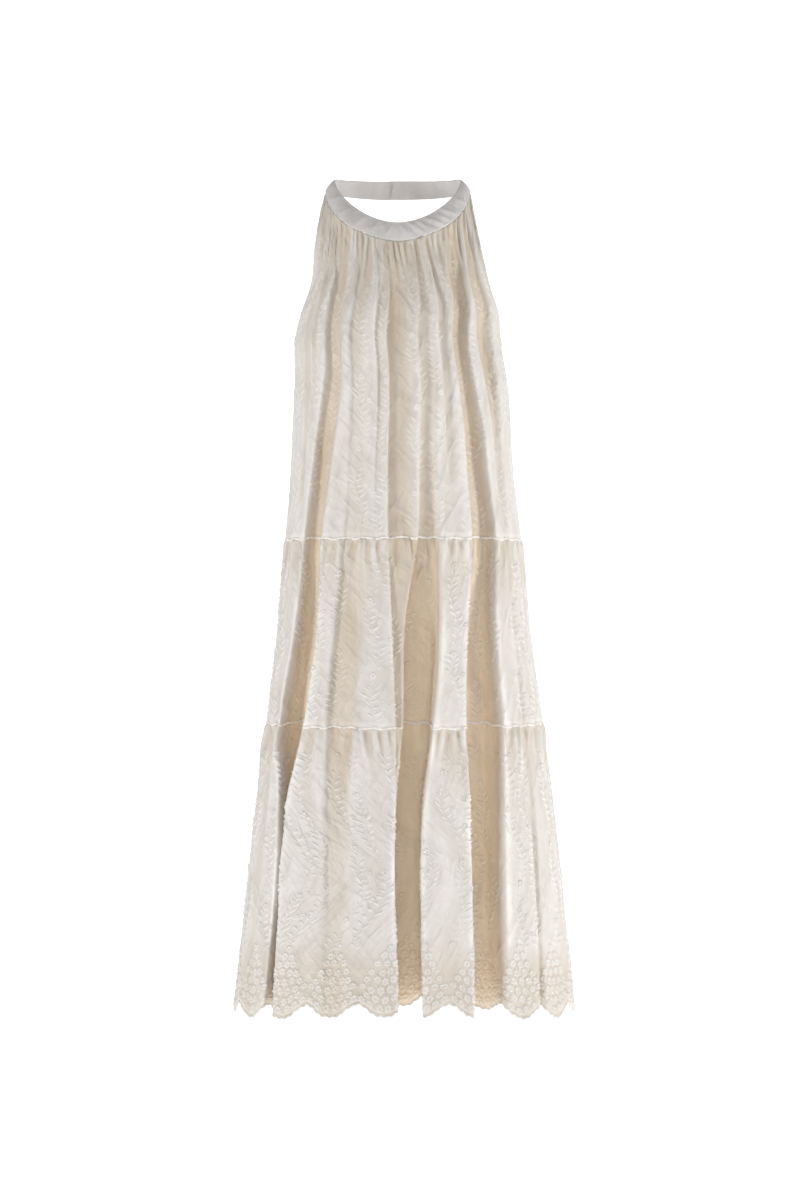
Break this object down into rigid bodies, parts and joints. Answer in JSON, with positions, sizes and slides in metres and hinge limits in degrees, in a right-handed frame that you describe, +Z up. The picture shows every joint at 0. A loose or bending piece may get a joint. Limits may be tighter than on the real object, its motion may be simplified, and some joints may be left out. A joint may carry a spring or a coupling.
{
  "type": "tiered halter midi dress",
  "caption": "Worn, hollow tiered halter midi dress in cream embroidered cotton, gathered to a smooth neckband, with a bare back and a scalloped hem.",
  "frame": {"origin": "middle of the neckband, where a neck holds the dress up", "axes": "+Z up, the front of the dress faces -Y, +X is on the right of someone who looks at the front"},
  "size_m": [0.4746, 0.3545, 1.172],
  "materials": {
    "cotton": "cream cotton, embroidered in its own colour",
    "band_cotton": "smooth plain cotton, pressed, with a faint sheen",
    "button": "pearly"
  },
  "bodies": {
    "root": {"neckband": "band_cotton", "neck_button": "button", "upper_front": "cotton", "upper_back": "cotton", "middle_front": "cotton", "middle_back": "cotton", "bottom_front": "cotton", "bottom_back": "cotton"}
  },
  "joints": []
}
